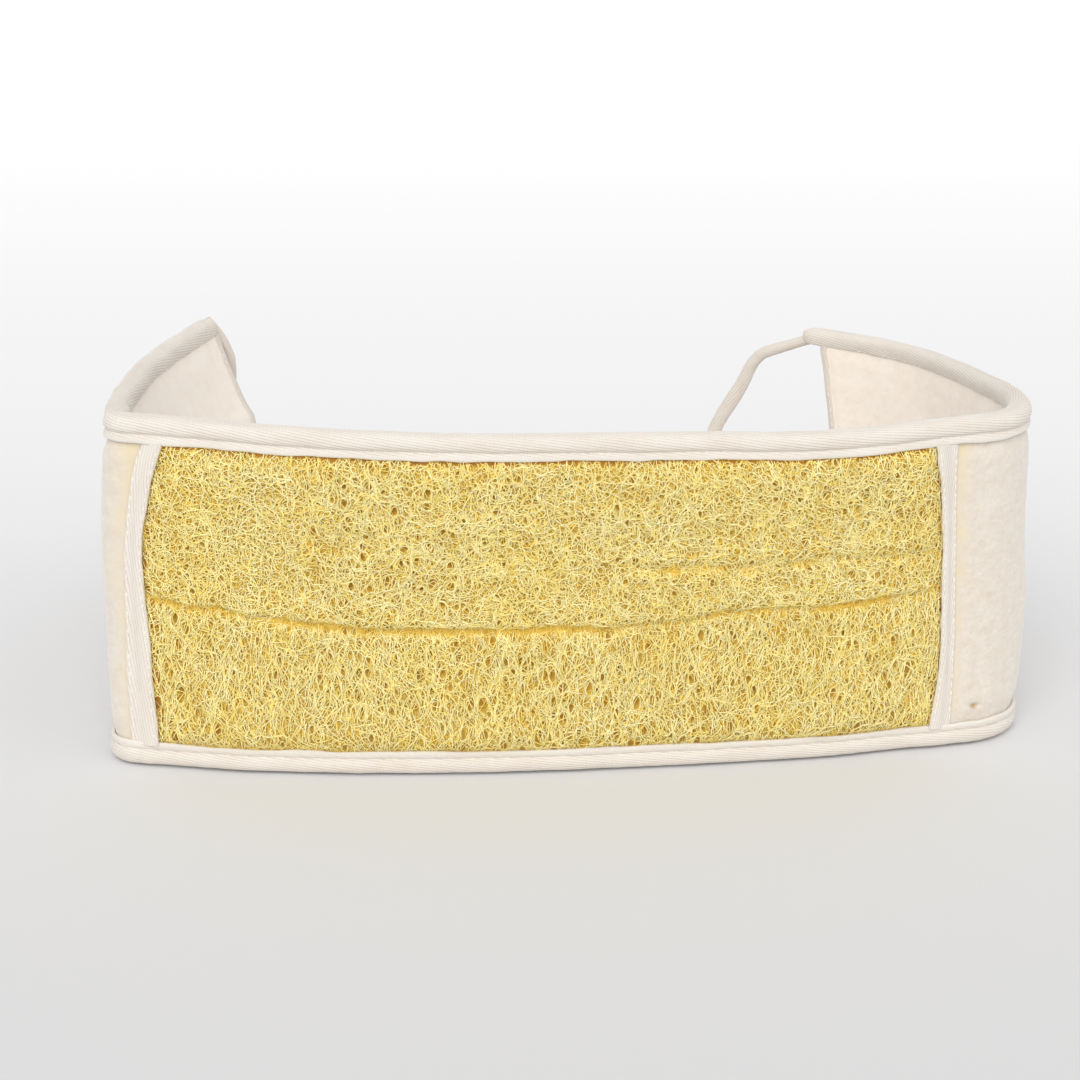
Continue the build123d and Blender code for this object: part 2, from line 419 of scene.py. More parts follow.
class Paint:
    """A Principled material with procedural colour and bump."""

    def __init__(self, name, roughness, sheen=0.0, sheen_roughness=0.5):
        self.material = bpy.data.materials.new(name)
        self.material.use_nodes = True
        self.tree = self.material.node_tree
        self.shader = self.tree.nodes["Principled BSDF"].inputs
        self.shader["Roughness"].default_value = roughness
        self.shader["Sheen Weight"].default_value = sheen
        self.shader["Sheen Roughness"].default_value = sheen_roughness
        self.shader["Specular IOR Level"].default_value = 0.25
        self.height = None

    def node(self, kind, inputs=None, **settings):
        node = self.tree.nodes.new(f"ShaderNode{kind}")
        for key, value in settings.items():
            setattr(node, key, value)
        for key, value in (inputs or {}).items():
            if isinstance(value, bpy.types.NodeSocket):
                self.tree.links.new(value, node.inputs[key])
            else:
                node.inputs[key].default_value = value
        return node

    def weave(self):
        return self.node("UVMap", uv_map="Weave").outputs["UV"]

    def place(self):
        return self.node("TexCoord").outputs["Object"]

    def stretch(self, vector, scale=(1, 1, 1), turn=0.0):
        mapping = self.node("Mapping", {"Vector": vector, "Scale": scale})
        mapping.inputs["Rotation"].default_value = (0, 0, radians(turn))
        return mapping.outputs["Vector"]

    def clouds(self, vector, scale, detail=3.0):
        inputs = {"Vector": vector, "Scale": scale, "Detail": detail, "Roughness": 0.6}
        return self.node("TexNoise", inputs).outputs["Fac"]

    def bands(self, vector, pitch, direction="X", warp=0.0):
        """Stripes across a direction, one to each pitch."""
        inputs = {"Vector": vector, "Scale": 2 * pi / 20 / pitch, "Distortion": warp}
        settings = {"wave_type": "BANDS", "bands_direction": direction}
        return self.node("TexWave", inputs, **settings).outputs["Fac"]

    def math(self, kind, a, b):
        return self.node("Math", {0: a, 1: b}, operation=kind).outputs["Value"]

    def blend(self, a, share_a, b, share_b):
        """A weighted sum of two values."""
        weighted = self.math("MULTIPLY", a, share_a), self.math("MULTIPLY", b, share_b)
        return self.math("ADD", *weighted)

    def split(self, vector):
        return self.node("SeparateXYZ", {"Vector": vector}).outputs

    def fade(self, value, start, end, low=0.0, high=1.0):
        """A value that goes from low to high as another goes from start to end."""
        inputs = {"Value": value, "From Min": start, "From Max": end, "To Min": low, "To Max": high}
        return self.node("MapRange", inputs).outputs["Result"]

    def ramp(self, factor, stops):
        ramp = self.node("ValToRGB", {"Fac": factor})
        elements = ramp.color_ramp.elements
        while len(elements) < len(stops):
            elements.new(0.5)
        for element, (position, colour) in zip(elements, stops):
            element.position = position
            element.color = tint(colour)
        return ramp.outputs["Color"]

    def border_mix(self, value, start, end, colour, inner):
        """A flat colour that gives way to another as a value goes from start to end."""
        inputs = {"Factor": self.fade(value, start, end), 6: tint(colour), 7: inner}
        return self.node("Mix", inputs, data_type="RGBA").outputs[2]

    def colour(self, colour):
        self.tree.links.new(colour, self.shader["Base Color"])

    def bump(self, height, strength, distance):
        inputs = {"Height": height, "Strength": strength, "Distance": distance}
        if self.height is not None:
            inputs["Normal"] = self.height
        self.height = self.node("Bump", inputs).outputs["Normal"]
        self.tree.links.new(self.height, self.shader["Normal"])


# Ribs of the twill tape: their distance, and their slant to the tape's length in degrees
RIB_PITCH = 0.98
RIB_SLANT = 9.0
# A small brown pucker in the terry beside the right tape: station and height
PUCKER = (150.5, 14.0)


def twill_paint(name, pressed=0.0):
    """Cream cotton twill tape with slanting ribs and painted shade in their grooves, pressed nearly
    flat along one border.
    """
    paint = Paint(name, 0.88, sheen=0.25)
    uv = paint.weave()
    ribs = paint.bands(paint.stretch(uv, turn=RIB_SLANT - 90), RIB_PITCH)
    yarns = paint.bands(paint.stretch(uv, turn=-52), 0.42)
    fuzz = paint.clouds(uv, 1.4, 4.0)
    broad = paint.clouds(paint.stretch(uv, (0.05, 0.2, 1)), 1.0, 2.0)
    # painted shade: the colour darkens along the ribs' grooves, less where the border is pressed
    # flat
    groove_shade = paint.math("MINIMUM", paint.math("MULTIPLY", ribs, 4.5), 1.0)
    if pressed:
        across = paint.math("ABSOLUTE", paint.split(uv)["Y"], 0.0)
        flat = paint.fade(across, pressed - 0.4, pressed + 0.4, low=0.75, high=0.0)
        groove_shade = paint.math("MAXIMUM", groove_shade, flat)
    groove_shade = paint.math("ADD", paint.math("MULTIPLY", groove_shade, 0.6), 0.4)
    factor = paint.math("MULTIPLY", paint.blend(fuzz, 0.5, broad, 0.5), groove_shade)
    shades = [(0.16, (205, 184, 168)), (0.34, (221, 213, 202)), (0.6, (229, 223, 214))]
    paint.colour(paint.ramp(factor, shades))
    paint.bump(yarns, 0.25, 0.00008)
    paint.bump(fuzz, 0.35, 0.00015)
    return paint.material


def terry_paint():
    """Cream terry: softly mottled, warmer beside the loofah's tapes."""
    paint = Paint("cream_terry", 0.95, sheen=0.5, sheen_roughness=0.6)
    place = paint.place()
    pile = paint.clouds(place, 900.0, 3.0)
    mottle = paint.clouds(place, 260.0, 3.0)
    shades = [(0.3, (212, 200, 183)), (0.5, (219, 209, 196)), (0.7, (225, 218, 207))]
    cream = paint.ramp(paint.blend(pile, 0.45, mottle, 0.55), shades)
    weave = paint.weave()
    # the warmer patches reach unevenly out from under the tapes
    patches = paint.math("MULTIPLY", paint.clouds(place, 110.0, 4.0), -16.0)
    reach = paint.math("ABSOLUTE", paint.math("SUBTRACT", paint.split(weave)["X"], 1.5), 0.0)
    reach = paint.math("ADD", reach, patches)
    cream = paint.border_mix(reach, 128.5, 136.5, (225, 210, 180), cream)
    points = {0: weave, 1: (*PUCKER, 0.0)}
    pucker = paint.node("VectorMath", points, operation="DISTANCE").outputs["Value"]
    paint.colour(paint.border_mix(pucker, 0.3, 1.9, (188, 150, 96), cream))
    paint.bump(pile, 0.4, 0.0003)
    return paint.material


def lining_paint():
    """The softly napped cotton of the inner face, a little pinker."""
    paint = Paint("napped_cotton_lining", 0.93, sheen=0.35, sheen_roughness=0.5)
    uv = paint.weave()
    nap = paint.clouds(paint.place(), 420.0, 4.0)
    mottle = paint.clouds(paint.place(), 130.0, 3.0)
    warp = paint.bands(uv, 0.7, "X", 0.6)
    weft = paint.bands(uv, 0.7, "Y", 0.6)
    shades = [(0.3, (244, 232, 218)), (0.5, (249, 239, 227)), (0.7, (252, 244, 234))]
    paint.colour(paint.ramp(paint.blend(nap, 0.5, mottle, 0.5), shades))
    paint.bump(paint.math("MULTIPLY", warp, weft), 0.2, 0.0001)
    paint.bump(nap, 0.35, 0.0002)
    return paint.material


def plain_paint(name, roughness, sheen, scale, detail, dark, light, bump):
    """A finely mottled paint with a bump of the same pattern."""
    paint = Paint(name, roughness, sheen=sheen)
    fluff = paint.clouds(paint.place(), scale, detail)
    paint.colour(paint.ramp(fluff, [(0.3, dark), (0.7, light)]))
    paint.bump(fluff, *bump)
    return paint.material


def fibre_paint(name, dark, light):
    """Dry loofah fibre, its colour varying along each strand, with a slight gloss."""
    paint = Paint(name, 0.7)
    place = paint.place()
    patches = paint.clouds(place, 38.0, 2.0)
    strands = paint.clouds(place, 420.0, 3.0)
    factor = paint.blend(patches, 0.35, strands, 0.65)
    paint.colour(paint.ramp(factor, [(0.35, dark), (0.65, light)]))
    paint.bump(strands, 0.3, 0.0001)
    return paint.material


def flesh_paint():
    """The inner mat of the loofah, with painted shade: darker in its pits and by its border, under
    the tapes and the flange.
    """
    paint = Paint("loofah_inner_mat", 0.8)
    place = paint.place()
    cells = paint.node("TexVoronoi", {"Vector": place, "Scale": 420.0})
    patches = paint.clouds(place, 200.0, 4.0)
    factor = paint.blend(cells.outputs["Distance"], 0.7, patches, 0.5)
    shades = [(0.25, (196, 157, 56)), (0.5, (209, 173, 72)), (0.8, (222, 188, 92))]
    gold = paint.ramp(factor, shades)
    # its UV map holds how far inside the border a point is, and how open the pore over it, for the
    # painted shade
    inside, opening, _ = paint.split(paint.weave())
    # painted shade: browner in the open pits, and browner still along the border, where the tapes
    # and the flange overhang it
    pit_shaded = paint.border_mix(opening, 1.0, 0.2, (178, 130, 44), gold)
    paint.colour(paint.border_mix(inside, 1.0, 2.4, (166, 116, 38), pit_shaded))
    paint.bump(factor, 0.5, 0.0004)
    return paint.material


TWILL = twill_paint("cream_twill_tape")
BINDING_TWILL = twill_paint("cream_binding_twill", pressed=2.7)
TERRY = terry_paint()
LINING = lining_paint()
WADDING = plain_paint(
    "white_wadding", 0.97, 0.3, 300.0, 4.0, (232, 230, 226), (246, 245, 243), (0.6, 0.0006)
)
THREAD = plain_paint(
    "cream_thread", 0.8, 0.2, 1500.0, 2.0, (238, 229, 215), (248, 242, 232), (0.4, 0.0001)
)
FLESH = flesh_paint()
# the fibre paints grow darker and more golden with depth: partly the loofah's own colour, partly
# painted shade
FIBRE_TOP = fibre_paint("loofah_fibre_top", (255, 238, 154), (255, 246, 192))
FIBRE_MIDDLE = fibre_paint("loofah_fibre_middle", (254, 229, 124), (255, 238, 154))
FIBRE_DEEP = fibre_paint("loofah_fibre_deep", (242, 202, 86), (248, 217, 110))


# ---- bindings


# The binding's outline, from the border of its outer flange over the roll to its inner border:
# offset, and depth below the band's edge
BINDING_OUTLINE = [
    (2.35, 8.15), (2.95, 8.4), (3.5, 8.3), (3.74, 7.8), (3.7, 7.0), (3.45, 6.2), (3.05, 5.72),
    (3.3, 5.3), (3.8, 4.7), (4.05, 3.8), (4.0, 2.6), (3.6, 1.45), (2.8, 0.6), (1.5, 0.12),
    (0.0, 0.0), (-1.5, 0.12), (-2.8, 0.6), (-3.65, 1.5), (-4.05, 2.7), (-4.1, 3.9),
    (-3.95, 5.0), (-3.7, 5.9), (-3.35, 6.3), (-2.8, 6.3), (-2.4, 6.05),
]
BINDING_UNDER = [(-2.3, 5.6), (0.0, 5.4), (2.3, 6.6), (2.3, 7.6)]
# Depths of its seams below the band's edge, on the outer and the inner face
OUTER_SEAM = 5.75
INNER_SEAM = 6.0


def rib(across, along):
    """The height, from -1 to 1, of twill ribs that run at a slant to the tape."""
    phase = (across * cos(radians(RIB_SLANT)) + along * sin(radians(RIB_SLANT))) / RIB_PITCH
    return 2 * np.abs(np.sin(pi * phase)) ** 0.7 - 1.2


def binding(side, top):
    """One half of the tape folded over the upper or lower edge, from the middle to a wing's end."""
    level = "top" if top else "bottom"
    outline, across, shown = tape_outline(BINDING_OUTLINE, BINDING_UNDER, 0.2)
    normal = outline_normals(outline, shown, (0, -1))
    # only the right upper roll runs on well past the wing's end, into its hand loop
    end = HALF + (8.0 if top and side > 0 else 2.4)
    stations = np.concatenate([np.arange(0, HALF - 4, 1.0), np.arange(HALF - 4, end, 0.4)])
    s, a = np.meshgrid(side * stations, across, indexing="ij")
    o, e = (np.broadcast_to(outline[:, k], s.shape) for k in (0, 1))
    on_roll = smooth((np.where(o > 0, OUTER_SEAM, INNER_SEAM) - e + 0.3) / 0.6)
    seed = 20 if top else 30
    lumps = 0.16 * noise(s / 9, a / 6, seed) + 0.07 * noise(s / 3.1, a / 2.4, seed + 1)
    a = a if top else -a
    ribs = rib(a, s) * (0.03 + 0.11 * on_roll)
    border = smooth((e - 7.3) / 0.9) * noise(s / 7, 3, seed + 2) * 0.25
    o = o + (ribs + lumps) * normal[:, 0]
    e = e + (ribs + lumps) * normal[:, 1] + border
    # the roll closes round its middle at its end, where its flange stops
    close_run, roll_middle, roll_depth = 6.4, 3.2, 6.3
    past = np.clip((np.abs(s) - end + close_run) / close_run, 0, 1)
    close = 0.3 + 0.7 * np.sqrt(np.clip(1 - past**2, 0, 1))
    o = o * close
    e = np.where(np.abs(s) > HALF + 1.5, np.minimum(e, roll_depth), e)
    e = roll_middle + (e - roll_middle) * close
    z = HEIGHT - e if top else e
    name = f"{SIDE[side]}_{level}_binding"
    piece = add_tape(name, at(s, o, z), s, a, outline, BINDING_TWILL)
    join_bend(piece, side, f"{level}_binding")
    return piece


def stitch_paths(stations, offsets, heights, run):
    """Short stitches along a line of the band, each dipping into the cloth at its ends."""
    t = np.linspace(-0.5, 0.5, 5)
    dip = -0.55 * (2 * np.abs(t)) ** 3
    s, o, z = (a[:, None] for a in np.broadcast_arrays(stations, offsets, heights))
    return at(s + run[0] * t, o + np.sign(o) * dip, z + run[1] * t)


def add_stitches(name, seams, radius):
    """The stitches of some seams, from the paths that stitch_paths gives for each."""
    return add_strands(name, np.concatenate(seams), radius, 5, THREAD)


def binding_stitches(side, top):
    """The seam along both faces of a binding's flange."""
    level = "top" if top else "bottom"
    stations = side * np.arange(1.4, HALF - 3, STITCH_PITCH)
    seams = []
    for seam, offset in ((OUTER_SEAM + 0.1, 3.0), (INNER_SEAM - 0.3, -3.75)):
        heights = (HEIGHT - seam if top else seam) + 0.1 * noise(stations / 11, 0, 40)
        seams.append(stitch_paths(stations, offset, heights, (2.3, 0.0)))
    piece = add_stitches(f"{SIDE[side]}_{level}_binding_stitches", seams, 0.14)
    join_bend(piece, side, f"{level}_binding_stitching")
    return piece


# ---- tapes over the loofah's ends


# Borders of the two upright tapes: station by height
TAPE_INNER = {
    -1: ([8, 40, 70, 92, 108], [-129.5, -131.0, -132.5, -129.5, -124.5]),
    1: ([8, 30, 60, 88, 108], [133.5, 135.5, 134.6, 132.5, 129.0]),
}
TAPE_OUTER = {
    -1: ([8, 40, 76, 97, 108], [-138.8, -139.0, -138.2, -135.5, -131.5]),
    1: ([8, 30, 60, 88, 108], [142.4, 142.0, 140.6, 139.0, 138.0]),
}
# Places of a tape's two seams, as shares of its width from its outer border
TAPE_SEAMS = (0.12, 0.88)


def loofah_ends(z, beyond=0.0):
    """The stations where the tapes' inner borders cross the loofah, or that far under them."""
    return smooth_line(TAPE_INNER[-1], z) - beyond, smooth_line(TAPE_INNER[1], z) + beyond


def tape_step(share):
    """The offset of a tape's back, which steps up from the terry onto the loofah's border."""
    return 2.45 + 1.5 * smooth((share - 0.25) / 0.5)


def end_tape(side):
    """The upright herringbone tape that covers one end of the loofah, and its stitches."""
    shown = 37
    share = np.concatenate([np.linspace(0, 1, shown), [0.97, 0.5, 0.03]])
    is_shown = np.arange(len(share)) < shown
    z, t = np.meshgrid(np.arange(7.6, 107.5, 0.7), share, indexing="ij")
    outer = smooth_line(TAPE_OUTER[side], z) + 0.15 * noise(z / 6, 0, 50 + side)
    inner = smooth_line(TAPE_INNER[side], z) + 0.2 * noise(z / 5, 5, 52 + side)
    s = outer + (inner - outer) * t
    crown = 0.75 * np.clip(1 - np.abs(2 * t - 1) ** 6, 0, 1) ** 0.5
    across = np.abs(inner - outer) * t
    top = tape_step(t) + crown + 0.05 * rib(across, z) + 0.12 * noise(z / 8, t * 2, 54 + side)
    for seam in TAPE_SEAMS:
        top = top - 0.1 * hump(t, seam, 0.03)
    o = np.where(is_shown, top, tape_step(t) - 0.3)
    outline = np.stack([share * 7, np.where(is_shown, crown[0] + 1, 0)], -1)
    name = f"{SIDE[side]}_loofah_end_tape"
    piece = add_tape(name, at(s, o, z), z, across, outline, TWILL)
    ride(piece, "panel", f"panel_{SIDE[side]}_end_tape")
    rows = np.arange(10.6, 105, STITCH_PITCH)
    outer, inner = smooth_line(TAPE_OUTER[side], rows), smooth_line(TAPE_INNER[side], rows)
    seams = []
    for seam in TAPE_SEAMS:
        stations = outer + (inner - outer) * seam
        seams.append(stitch_paths(stations, tape_step(seam) + 0.68, rows, (0.0, 2.2)))
    stitches = add_stitches(f"{name}_stitches", seams, 0.2)
    ride(stitches, "panel", f"panel_{SIDE[side]}_end_tape_stitching")
    return piece, stitches


# The hem's outline, from its border on the terry round the wing's end: past the end, and offset;
# and how far its border reaches over the lining
HEM_OUTLINE = [
    (-4.6, 2.6), (-4.5, 3.3), (-3.6, 3.5), (-1.2, 3.35), (0.2, 2.9),
    (0.75, 1.2), (0.75, -1.8), (0.2, -3.3), (-0.8, -3.75),
]
HEM_UNDER = [(-2.6, -2.8), (-0.6, -2.4), (-0.6, 1.6), (-3.4, 2.2)]
HEM_INNER_WIDTH = {-1: 3.5, 1: 2.1}


def end_hem(side):
    """The narrow tape folded round a wing's end, between the bindings, and its stitches."""
    inner = HEM_INNER_WIDTH[side]
    border = [(0.7 - inner, -3.85), (-inner, -3.7), (-inner - 0.15, -3.1)]
    outline, across, shown = tape_outline(HEM_OUTLINE + border, HEM_UNDER, 0.22)
    normal = outline_normals(outline, shown, (1, 0))
    z, a = np.meshgrid(np.arange(5.8, 109.6, 0.8), across, indexing="ij")
    rise = 0.05 * rib(a, z) + 0.15 * noise(z / 7, a / 5, 60 + side)
    s = side * (HALF + outline[:, 0] + rise * normal[:, 0])
    o = outline[:, 1] + rise * normal[:, 1]
    name = f"{WING[side]}_end_hem"
    piece = add_tape(f"{name}_tape", at(s, o, z), z, a, outline, TWILL)
    ride(piece, WING[side], name)
    rows = np.arange(11.0, 105, STITCH_PITCH)
    seams = []
    for inset, lift in ((2.6, 3.42), (inner - 0.9, -3.78)):
        seams.append(stitch_paths(side * (HALF - inset), lift, rows, (0.0, 2.2)))
    stitches = add_stitches(f"{name}_stitches", seams, 0.2)
    ride(stitches, WING[side], f"{name}_stitching")
    return piece, stitches


# ---- terry, lining and wadding


def terry_offset(s, z):
    """The offset of the terry's outer face: puffed between its tapes, flat under the loofah."""
    low = smooth((z - 7.6) / 7) * smooth((107.4 - z) / 7)
    start = np.where(s < 0, -smooth_line(TAPE_OUTER[-1], z), smooth_line(TAPE_OUTER[1], z))
    open_part = smooth((np.abs(s) - start + 0.5) / 6)
    hem = smooth((310.8 - np.abs(s)) / 4)
    puff = 1.25 * low * open_part * (0.35 + 0.65 * hem)
    waves = 0.35 * noise(s / 16, z / 24, 71) * low * open_part
    grain = 0.13 * noise(s / 1.05, z / 1.05, 72) + 0.07 * noise(s / 2.2, z / 2.2, 73)
    along, above = s - PUCKER[0], z - PUCKER[1]
    pucker = hump(along, 0, 2.6) * hump(above + 0.1 * (along + 0.5), 0, 0.8)
    return 2.1 + puff + waves + grain * open_part - 1.1 * pucker


def terry(side):
    """The outer terry of one half of the band: coarse under the loofah, fine where it shows."""
    start = abs(TAPE_OUTER[side][1][-1]) - 2
    fine = 0.52
    s = np.concatenate([np.arange(0, start, 4.0), np.arange(start, HALF - 0.8, fine)])
    z = np.arange(7.2, 108.0, fine)
    name = f"{SIDE[side]}_terry"
    return add_sheet(name, side, s, z, terry_offset, 2.0, TERRY, "terry_face")


def lining_offset(s, z):
    """The offset of the lining's face, puffed inwards between the bindings."""
    low = smooth((z - 5.5) / 8) * smooth((109.5 - z) / 8) * smooth((313 - np.abs(s)) / 4)
    waves = 0.4 * noise(s / 19, z / 30, 91) + 0.08 * noise(s / 5, z / 5, 92)
    grain = 0.05 * noise(s / 1.6, z / 1.6, 93)
    return -3.15 - 0.5 * low + waves * low + grain


def lining(side):
    """The inner cotton face of one half of the band."""
    s, z = np.arange(0, HALF - 0.8, 1.0), np.arange(5.2, 110.2, 1.0)
    name = f"{SIDE[side]}_lining"
    slot = part = "cotton_lining"
    return add_sheet(name, side, s, z, lining_offset, -0.8, LINING, part)


def wadding(side):
    """The soft layer between the two faces, of one half of the band."""
    inner = [(-2.0, z) for z in np.arange(9, 107, 7)]
    outer = [(0.2, z) for z in np.arange(105, 8, -7)]
    outline = np.array(inner + outer)
    s, o = np.meshgrid(side * np.arange(0, HALF - 2, 3.0), outline[:, 0], indexing="ij")
    z = np.broadcast_to(outline[:, 1], s.shape)
    o = o + 0.12 * noise(s / 8, z / 8, 95)
    name = f"{SIDE[side]}_wadding"
    piece = add_swept(name, at(s, o, z), np.stack([s, z], -1), outline, WADDING)
    join_bend(piece, side, "wadding")


# ---- loofah


# Where the flattened loofah is creased: heights by station
MAIN_CREASE = (
    [-134, -109, -80, -54, -16, 23, 44, 58, 88, 134],
    [58.5, 56.5, 53.3, 52, 52.2, 52.3, 53.6, 56.4, 57.2, 59],
)
SECOND_CREASE = ([-20, 17, 44, 70, 97, 134], [69, 72.6, 71, 72, 73.4, 71])
# Distance between the gaps that open between its fibres
PORE_PITCH = 4.3
# The main crease's usual height, and the upright stretch of the nets below it
FOLD_HEIGHT = 53.0
LOW_STRETCH = 1.55
# How far each curling fibre runs, in steps of 1 mm
FIBRE_STEPS = 9


def from_creases(s, z):
    """Heights above the main and the second crease, and how far the second has formed."""
    wander = 0.5 * noise(s / 9, 0, 101)
    main = z - np.interp(s, *MAIN_CREASE) - wander - 0.3 * noise(s / 2.6, 0, 109)
    second = z - np.interp(s, *SECOND_CREASE) - 0.5 * noise(s / 8, 3, 102)
    return main, second, smooth((s + 20) / 70)


def below_fold(s, z):
    """0 above the main crease, growing to 1 at 6 mm below it."""
    return smooth((np.interp(s, *MAIN_CREASE) - z) / 6)


def pores(s, z):
    """Gaps between the fibres: how far they push a point aside, and how open it is there."""
    tall = 0.75 - 0.25 * below_fold(s, z)
    i, j = np.floor(s / PORE_PITCH).astype(int), np.floor(z / PORE_PITCH).astype(int)
    lattice = np.random.default_rng(107).uniform(0, 1, (3, 128, 64))
    push_s, push_z, opening = np.zeros(s.shape), np.zeros(s.shape), np.zeros(s.shape)
    for step in np.ndindex(3, 3):
        a, b = i + step[0] - 1, j + step[1] - 1
        x, y, size = lattice[:, a % 128, b % 64]
        x, y = (a + x) * PORE_PITCH, (b + y) * PORE_PITCH
        radius = (0.3 + 0.85 * size**2) * (0.9 + 0.35 * noise(x / 45, y / 30, 108))
        away = np.hypot(s - x, tall * (z - y)) + 1e-6
        push = 0.8 * radius * hump(away, 0, 1.7 * radius) / away
        push_s += push * (s - x)
        push_z += push * (z - y)
        opening = np.maximum(opening, hump(away, 0, 1.1 * radius) * smooth(radius / 0.8))
    return push_s, push_z, opening


def parted(s, z):
    """Places of fibres moved aside from the pores, and how deep the creases pull them."""
    push_s, push_z, _ = pores(s, z)
    s, z = s + push_s, z + push_z
    main, second, strength = from_creases(s, z)
    patchy = smooth(0.75 + 0.5 * noise(s / 12, 0, 110))
    dive = 1.8 * patchy * hump(main, -1.6, 1.5)
    pockets = strength * smooth(0.6 + 0.8 * noise(s / 5, 0, 111))
    pockets = pockets * (1 - 0.7 * smooth((s - 75) / 40))
    return s, z, dive + 1.6 * pockets * hump(second, -0.8, 1.4)


def loofah_surface(s, z):
    """The offset of the loofah's front: a pad pulled in at its borders, with two creases."""
    left, right = loofah_ends(z)
    sides = np.minimum(s - left, right - s)
    ends = np.minimum(z - 7.4, 107.6 - z)
    near = np.minimum(smooth(sides / 9) ** 0.6, smooth((ends + 0.5) / 8) ** 0.6)
    main, second, strength = from_creases(s, z)
    bulge = 0.8 * hump(main, 3, 5) * smooth(main / 2 + 0.6)
    hollow = -0.9 * np.exp(-np.abs(main) / 5) * smooth(0.4 - main / 2)
    fold = -0.6 * hump(second, 0, 1.8) * strength
    shoulder = 0.45 * hump(second, 4, 3) * strength
    lumps = 0.45 * noise(s / 13, z / 11, 103) + 0.25 * noise(s / 5, z / 5, 104)
    return 3.1 + near * (3.3 + bulge + hollow + fold + shoulder + lumps)


def as_loofah(piece):
    """Let a piece stand for a share of the loofah's slab."""
    ride(piece, "panel", "panel_loofah_pad")


def loofah_mat():
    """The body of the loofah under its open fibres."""
    under_tape = 1.5
    z, t = np.meshgrid(np.arange(7.4, 107.8, 0.8), np.linspace(0, 1, 340), indexing="ij")
    left, right = loofah_ends(z, under_tape)
    s = left + (right - left) * t
    main, _, _ = from_creases(s, z)
    opening = pores(s, z)[2]
    relief = 0.3 * noise(s / 2.3, z / 2.6, 105) - 0.6 * opening + 0.2 * hump(main, -1.5, 1.5)
    front = held_down(s, z, loofah_surface(s, z) - 1.1 + relief)
    back = np.full(s.shape, 2.35)
    rows, columns = s.shape
    face = grid_faces(rows, columns)
    points = np.concatenate([at(s, front, z).reshape(-1, 3), at(s, back, z).reshape(-1, 3)])
    border = np.concatenate([
        np.arange(columns - 1),
        columns - 1 + columns * np.arange(rows - 1),
        rows * columns - 1 - np.arange(columns - 1),
        (rows - 1 - np.arange(rows - 1)) * columns,
    ])
    after = np.roll(border, -1)
    count = rows * columns
    sides = np.stack([border, border + count, after + count, after], -1)
    quads = np.concatenate([face, face[:, ::-1] + count, sides])
    # for the mat's painted shadow under the tapes and the flange, and its painted shade in open
    # pores
    inside = np.minimum(np.minimum(t, 1 - t) * (right - left) - under_tape, 106.7 - z)
    uv = np.tile(np.stack([inside, opening], -1).reshape(-1, 2), (2, 1))
    as_loofah(add_piece("loofah_mat", points, quads, [], FLESH, uv, crease=60))


def held_down(s, z, o):
    """Offsets of fibres, kept under the tapes that hold the loofah's borders."""
    left, right = loofah_ends(z)
    inside = np.minimum(np.minimum(s - left, right - s) + 0.6, np.minimum(z - 8.6, 106.4 - z))
    return np.clip(o, 2.7, 2.95 + 1.3 * np.maximum(inside, 0))


def crease_share(depth):
    """How much of the creases' pull reaches fibres at a depth under the loofah's front."""
    return max(0.0, 1 - 1.2 * depth)


def loofah_net(name, seed, pore, depth, radius, paint):
    """A net of branching fibres round pores, taller below the main crease, as two halves."""
    rng = np.random.default_rng(seed)
    low = FOLD_HEIGHT + (6.0 - FOLD_HEIGHT) / LOW_STRETCH
    s, w = np.meshgrid(np.arange(-143, 147, pore), np.arange(low, 110, pore * 0.95), indexing="ij")
    jitter = rng.uniform(-0.48, 0.48, (2, *s.shape)) * pore
    seeds = np.stack([s + jitter[0], w + jitter[1]], -1).reshape(-1, 2)
    cells = delaunay_2d_cdt([Vector(p) for p in seeds], [], [], 0, 1e-6)
    corners = np.array([tuple(v) for v in cells[0]])
    triangles = np.array(cells[2])
    knots = corners[triangles].mean(1)
    up = knots[:, 1] - FOLD_HEIGHT
    knots[:, 1] = np.where(up < 0, FOLD_HEIGHT + up * LOW_STRETCH, knots[:, 1])
    edges = np.sort(triangles[:, [[0, 1], [1, 2], [2, 0]]].reshape(-1, 2), axis=1)
    order = np.lexsort(edges.T)
    shared = np.nonzero((edges[order][1:] == edges[order][:-1]).all(1))[0]
    a, b = order[shared] // 3, order[shared + 1] // 3
    middle = (knots[a] + knots[b]) / 2
    left, right = loofah_ends(middle[:, 1])
    inside = (middle[:, 0] > left) & (middle[:, 0] < right)
    inside &= (middle[:, 1] > 8.4) & (middle[:, 1] < 106)
    a, b, middle = a[inside], b[inside], middle[inside, 0]
    lift = rng.uniform(-0.35, 0.3, len(knots))
    t = np.linspace(0, 1, 4)
    run = knots[b] - knots[a]
    bow = rng.normal(0, 0.2, len(a))[:, None] * 4 * t * (1 - t)
    ps = knots[a][:, :1] + run[:, :1] * t - run[:, 1:] * bow
    pz = knots[a][:, 1:] + run[:, 1:] * t + run[:, :1] * bow
    ps, pz, dive = parted(ps, pz)
    arch = rng.uniform(-0.25, 0.4, len(a))[:, None] * 4 * t * (1 - t)
    po = loofah_surface(ps, pz) - crease_share(depth) * dive - depth
    po += lift[a][:, None] * (1 - t) + lift[b][:, None] * t + arch
    thick = radius * rng.uniform(0.7, 1.3, len(knots))
    thick = thick[a][:, None] * (1 - t) + thick[b][:, None] * t
    paths = at(ps, held_down(ps, pz, po), pz)
    for half in (-1, 1):
        kept = middle * half > 0
        half_name = f"{name}_{SIDE[half]}"
        as_loofah(add_strands(half_name, paths[kept], thick[kept], 3, paint))


